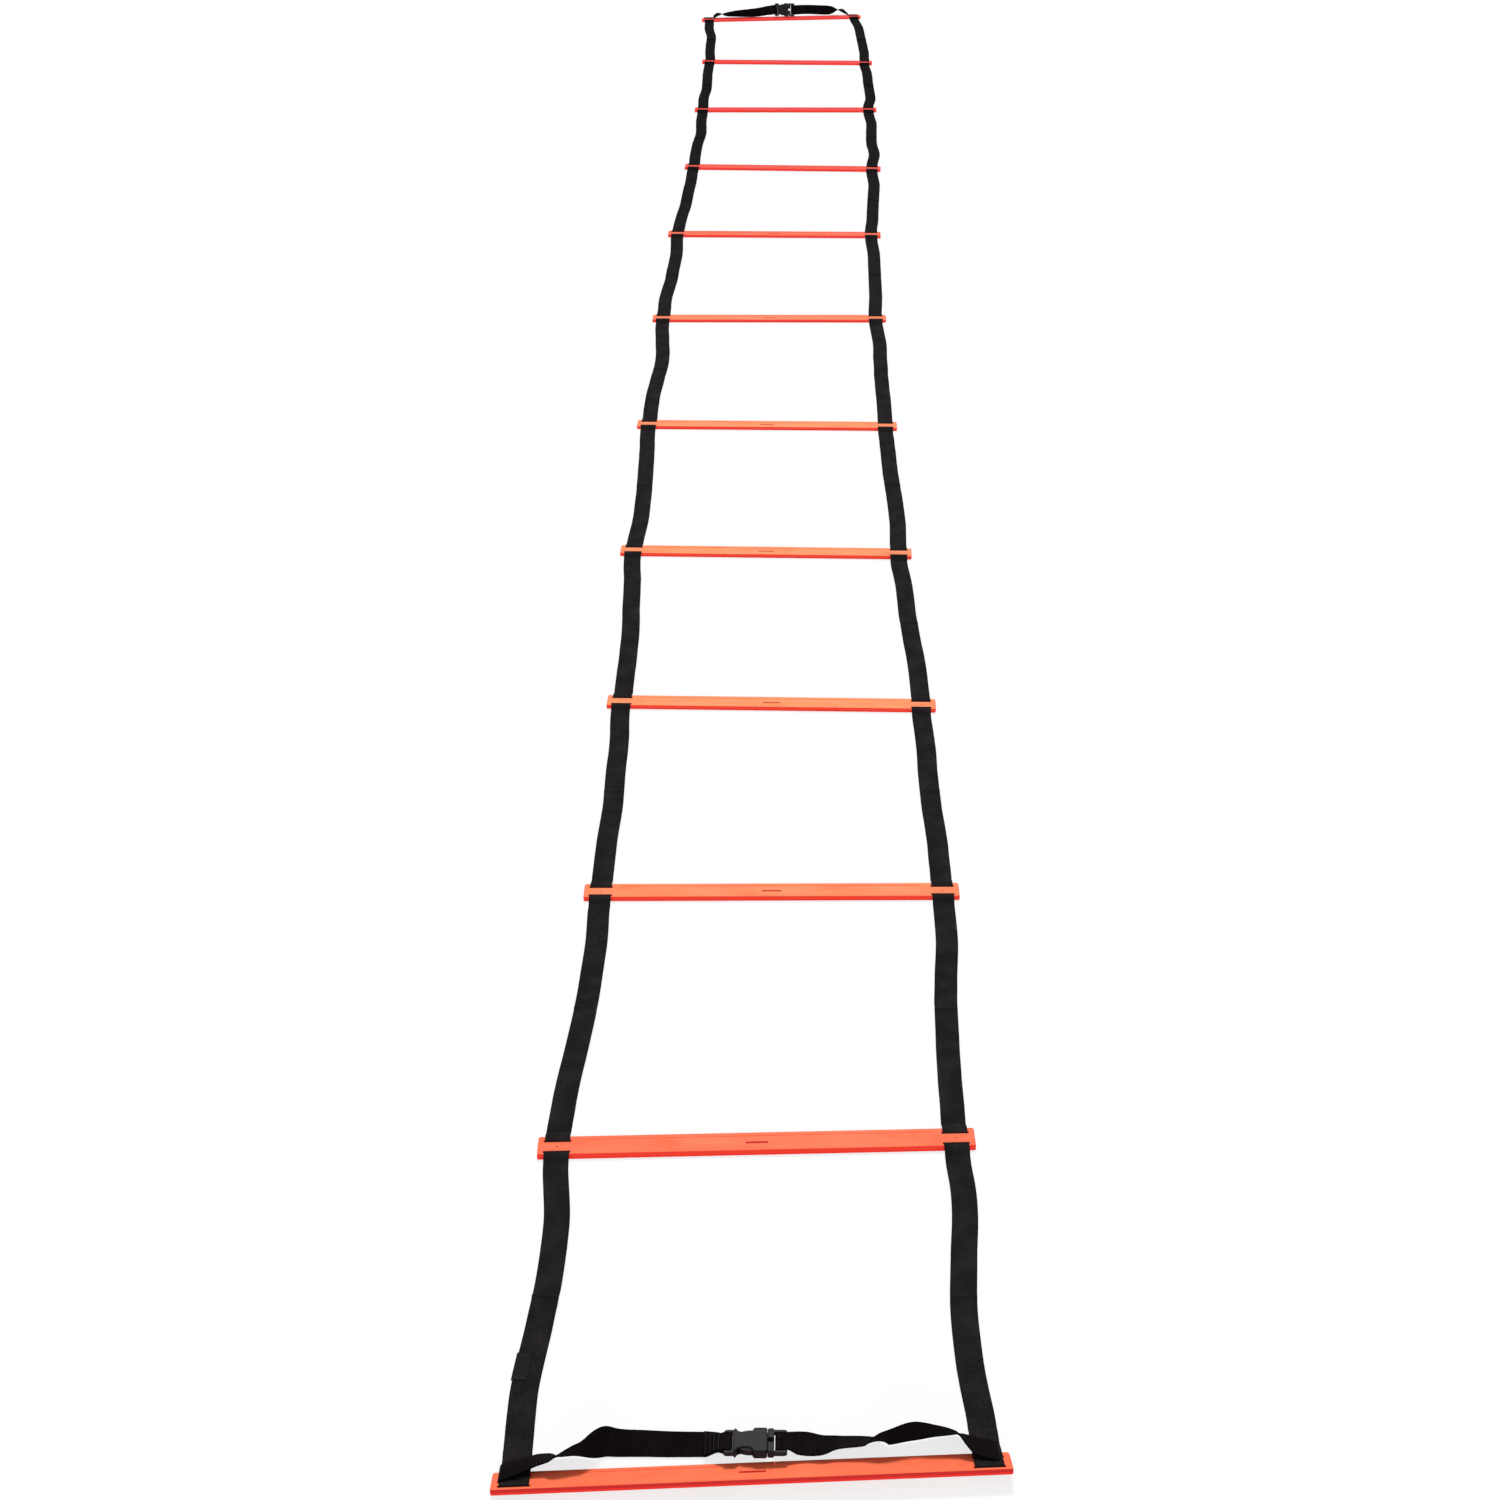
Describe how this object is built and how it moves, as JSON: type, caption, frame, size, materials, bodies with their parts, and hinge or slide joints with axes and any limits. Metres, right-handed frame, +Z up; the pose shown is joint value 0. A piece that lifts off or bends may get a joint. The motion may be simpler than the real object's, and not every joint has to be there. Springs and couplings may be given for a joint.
{
  "type": "agility ladder",
  "caption": "Flat agility ladder: slotted plastic rungs threaded on two webbing rails, with a side-release buckle strap closing each end.",
  "frame": {"origin": "centre of the footprint, on the floor", "axes": "+X along the rungs to the right seen from the near end, +Y along the ladder away from the near end, +Z up"},
  "size_m": [0.5542, 5.6188, 0.04],
  "materials": {
    "rung_plastic": "satin moulded orange-red polypropylene",
    "webbing": "black woven polypropylene webbing, ribbed",
    "buckle_plastic": "charcoal moulded acetal, satin",
    "label_fabric": "black woven label tape, blank"
  },
  "bodies": {
    "link_01": {"rung_01": "rung_plastic", "webbing_left_01": "webbing", "webbing_right_01": "webbing", "closing_strap_near_left": "webbing", "closing_strap_near_right": "webbing", "buckle_near_socket": "buckle_plastic", "label_tab": "label_fabric"},
    "link_02": {"webbing_left_02": "webbing", "webbing_right_02": "webbing"},
    "crossbar_02": {"rung_02": "rung_plastic"},
    "link_03": {"webbing_left_03": "webbing", "webbing_right_03": "webbing"},
    "crossbar_03": {"rung_03": "rung_plastic"},
    "link_04": {"webbing_left_04": "webbing", "webbing_right_04": "webbing"},
    "crossbar_04": {"rung_04": "rung_plastic"},
    "link_05": {"webbing_left_05": "webbing", "webbing_right_05": "webbing"},
    "crossbar_05": {"rung_05": "rung_plastic"},
    "link_06": {"webbing_left_06": "webbing", "webbing_right_06": "webbing"},
    "crossbar_06": {"rung_06": "rung_plastic"},
    "link_07": {"webbing_left_07": "webbing", "webbing_right_07": "webbing"},
    "crossbar_07": {"rung_07": "rung_plastic"},
    "link_08": {"webbing_left_08": "webbing", "webbing_right_08": "webbing"},
    "crossbar_08": {"rung_08": "rung_plastic"},
    "link_09": {"webbing_left_09": "webbing", "webbing_right_09": "webbing"},
    "crossbar_09": {"rung_09": "rung_plastic"},
    "link_10": {"webbing_left_10": "webbing", "webbing_right_10": "webbing"},
    "crossbar_10": {"rung_10": "rung_plastic"},
    "link_11": {"webbing_left_11": "webbing", "webbing_right_11": "webbing"},
    "crossbar_11": {"rung_11": "rung_plastic"},
    "link_12": {"webbing_left_12": "webbing", "webbing_right_12": "webbing", "rung_12": "rung_plastic", "closing_strap_far_left": "webbing", "closing_strap_far_right": "webbing", "buckle_far_socket": "buckle_plastic"},
    "plug_near": {"buckle_near_plug": "buckle_plastic"},
    "catch_near_a": {"buckle_near_prong_a": "buckle_plastic"},
    "catch_near_b": {"buckle_near_prong_b": "buckle_plastic"},
    "plug_far": {"buckle_far_plug": "buckle_plastic"},
    "catch_far_a": {"buckle_far_prong_a": "buckle_plastic"},
    "catch_far_b": {"buckle_far_prong_b": "buckle_plastic"}
  },
  "joints": [
    {"name": "fold_01", "type": "hinge", "parent": "link_02", "child": "link_01", "pos_m": [0, -2.55313, 0.0078], "axis": [-1, 0, 0], "range_deg": [0, 170]},
    {"name": "fold_02", "type": "hinge", "parent": "link_03", "child": "link_02", "pos_m": [0, -2.08338, -0.0025], "axis": [1, 0, 0], "range_deg": [0, 180]},
    {"name": "fold_03", "type": "hinge", "parent": "link_04", "child": "link_03", "pos_m": [0, -1.60538, 0.0078], "axis": [-1, 0, 0], "range_deg": [0, 180]},
    {"name": "fold_04", "type": "hinge", "parent": "link_05", "child": "link_04", "pos_m": [0, -1.11938, -0.0025], "axis": [1, 0, 0], "range_deg": [0, 180]},
    {"name": "fold_05", "type": "hinge", "parent": "link_06", "child": "link_05", "pos_m": [0, -0.60988, 0.0078], "axis": [-1, 0, 0], "range_deg": [0, 180]},
    {"name": "fold_06", "type": "hinge", "parent": "link_06", "child": "link_07", "pos_m": [0, -0.07238, -0.0025], "axis": [-1, 0, 0], "range_deg": [0, 180]},
    {"name": "fold_07", "type": "hinge", "parent": "link_07", "child": "link_08", "pos_m": [0, 0.46812, 0.0078], "axis": [1, 0, 0], "range_deg": [0, 178]},
    {"name": "fold_08", "type": "hinge", "parent": "link_08", "child": "link_09", "pos_m": [0, 0.98262, -0.0025], "axis": [-1, 0, 0], "range_deg": [0, 180]},
    {"name": "fold_09", "type": "hinge", "parent": "link_09", "child": "link_10", "pos_m": [0, 1.48712, 0.0078], "axis": [1, 0, 0], "range_deg": [0, 178]},
    {"name": "fold_10", "type": "hinge", "parent": "link_10", "child": "link_11", "pos_m": [0, 1.98262, -0.0025], "axis": [-1, 0, 0], "range_deg": [0, 180]},
    {"name": "fold_11", "type": "hinge", "parent": "link_11", "child": "link_12", "pos_m": [0, 2.47712, 0.0078], "axis": [1, 0, 0], "range_deg": [0, 170]},
    {"name": "rung_slide_02", "type": "slide", "parent": "link_02", "child": "crossbar_02", "axis": [0, 1, 0], "range_m": [-0.1, 0.1], "deforming": ["webbing_left_02", "webbing_right_02"]},
    {"name": "rung_slide_03", "type": "slide", "parent": "link_03", "child": "crossbar_03", "axis": [0, 1, 0], "range_m": [-0.1, 0.1], "deforming": ["webbing_left_03", "webbing_right_03"]},
    {"name": "rung_slide_04", "type": "slide", "parent": "link_04", "child": "crossbar_04", "axis": [0, 1, 0], "range_m": [-0.1, 0.1], "deforming": ["webbing_left_04", "webbing_right_04"]},
    {"name": "rung_slide_05", "type": "slide", "parent": "link_05", "child": "crossbar_05", "axis": [0, 1, 0], "range_m": [-0.1, 0.1], "deforming": ["webbing_left_05", "webbing_right_05"]},
    {"name": "rung_slide_06", "type": "slide", "parent": "link_06", "child": "crossbar_06", "axis": [0, 1, 0], "range_m": [-0.1, 0.1], "deforming": ["webbing_left_06", "webbing_right_06"]},
    {"name": "rung_slide_07", "type": "slide", "parent": "link_07", "child": "crossbar_07", "axis": [0, 1, 0], "range_m": [-0.1, 0.1], "deforming": ["webbing_left_07", "webbing_right_07"]},
    {"name": "rung_slide_08", "type": "slide", "parent": "link_08", "child": "crossbar_08", "axis": [0, 1, 0], "range_m": [-0.1, 0.1], "deforming": ["webbing_left_08", "webbing_right_08"]},
    {"name": "rung_slide_09", "type": "slide", "parent": "link_09", "child": "crossbar_09", "axis": [0, 1, 0], "range_m": [-0.1, 0.1], "deforming": ["webbing_left_09", "webbing_right_09"]},
    {"name": "rung_slide_10", "type": "slide", "parent": "link_10", "child": "crossbar_10", "axis": [0, 1, 0], "range_m": [-0.1, 0.1], "deforming": ["webbing_left_10", "webbing_right_10"]},
    {"name": "rung_slide_11", "type": "slide", "parent": "link_11", "child": "crossbar_11", "axis": [0, 1, 0], "range_m": [-0.1, 0.1], "deforming": ["webbing_left_11", "webbing_right_11"]},
    {"name": "release_near", "type": "slide", "parent": "link_01", "child": "plug_near", "axis": [1, 0, 0], "range_m": [0, 0.028], "deforming": ["closing_strap_near_right", "buckle_near_prong_a", "buckle_near_prong_b"]},
    {"name": "catch_flex_near_a", "type": "hinge", "parent": "plug_near", "child": "catch_near_a", "pos_m": [0.00624, -2.75673, 0.01436], "axis": [0, 0.3256, 0.9455], "range_deg": [-7, 0], "stiffness_Nm_per_rad": 1.6},
    {"name": "catch_flex_near_b", "type": "hinge", "parent": "plug_near", "child": "catch_near_b", "pos_m": [0.00624, -2.73725, 0.00766], "axis": [0, 0.3256, 0.9455], "range_deg": [0, 7], "stiffness_Nm_per_rad": 1.6},
    {"name": "release_far", "type": "slide", "parent": "link_12", "child": "plug_far", "axis": [1, 0, 0], "range_m": [0, 0.028], "deforming": ["closing_strap_far_right", "buckle_far_prong_a", "buckle_far_prong_b"]},
    {"name": "catch_flex_far_a", "type": "hinge", "parent": "plug_far", "child": "catch_far_a", "pos_m": [0.01474, 2.77222, 0.00971], "axis": [0, -1, 0], "range_deg": [-7, 0], "stiffness_Nm_per_rad": 1.6},
    {"name": "catch_flex_far_b", "type": "hinge", "parent": "plug_far", "child": "catch_far_b", "pos_m": [0.01474, 2.77222, 0.03031], "axis": [0, -1, 0], "range_deg": [0, 7], "stiffness_Nm_per_rad": 1.6}
  ],
  "couplings": [
    {"joint": "catch_flex_near_b", "follows": "catch_flex_near_a", "ratio": -1},
    {"joint": "catch_flex_far_b", "follows": "catch_flex_far_a", "ratio": -1}
  ]
}
